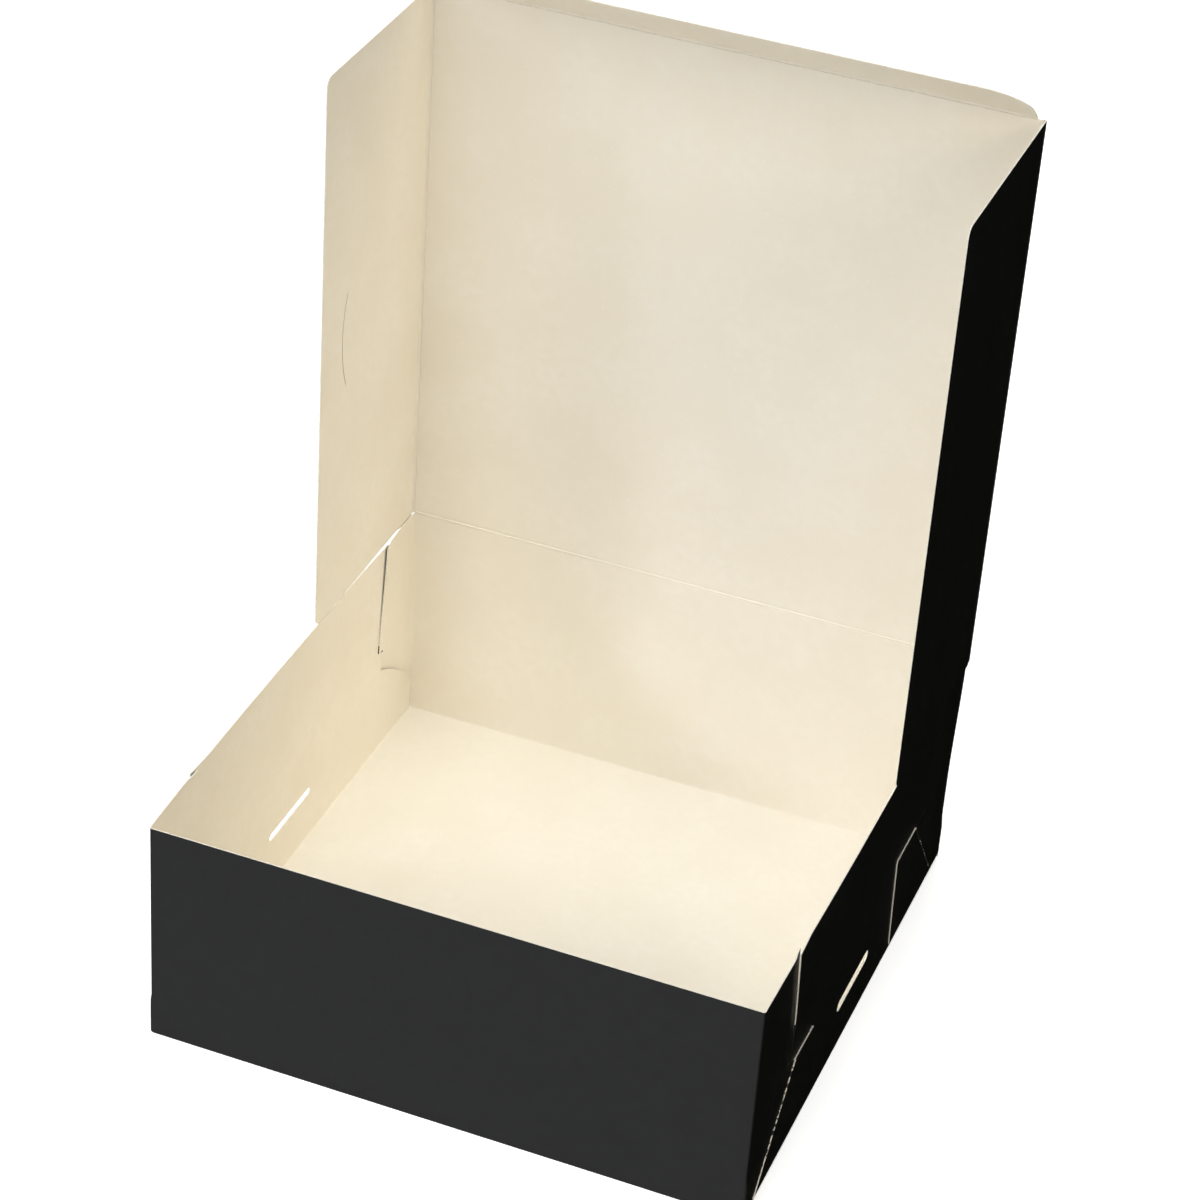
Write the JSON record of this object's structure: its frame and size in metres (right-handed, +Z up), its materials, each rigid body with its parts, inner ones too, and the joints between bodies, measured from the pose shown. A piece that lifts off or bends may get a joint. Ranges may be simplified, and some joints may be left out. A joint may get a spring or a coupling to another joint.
{
  "type": "cake box",
  "caption": "Square one-piece folding paperboard cake box, black outside and cream inside, with locked corners and a hinged lid with side flaps and a tuck flap, shown open.",
  "frame": {"origin": "middle of the tray's floor, on its underside", "axes": "+X to the right and +Y to the back as seen from the front wall, +Z up; the lid stands upright on the back wall"},
  "size_m": [0.31, 0.305, 0.451],
  "materials": {
    "coated_board": "clay-coated paperboard, printed satin black outside, plain cream inside"
  },
  "bodies": {
    "tray": {"tray": "coated_board"},
    "lid": {"lid_panel": "coated_board"},
    "left_flap": {"lid_flap_left": "coated_board"},
    "right_flap": {"lid_flap_right": "coated_board"},
    "tuck": {"tuck_flap": "coated_board"}
  },
  "joints": [
    {"name": "lid_hinge", "type": "hinge", "parent": "tray", "child": "lid", "pos_m": [0, 0.1522, 0.127], "axis": [1, 0, 0], "range_deg": [-90, 90]},
    {"name": "left_flap_fold", "type": "hinge", "parent": "lid", "child": "left_flap", "pos_m": [-0.1547, 0.1522, 0.127], "axis": [0, 0, -1], "range_deg": [0, 90]},
    {"name": "right_flap_fold", "type": "hinge", "parent": "lid", "child": "right_flap", "pos_m": [0.1547, 0.1522, 0.127], "axis": [0, 0, 1], "range_deg": [0, 90]},
    {"name": "tuck_fold", "type": "hinge", "parent": "lid", "child": "tuck", "pos_m": [0, 0.1522, 0.4304], "axis": [1, 0, 0], "range_deg": [-50.5, 44.5]}
  ]
}
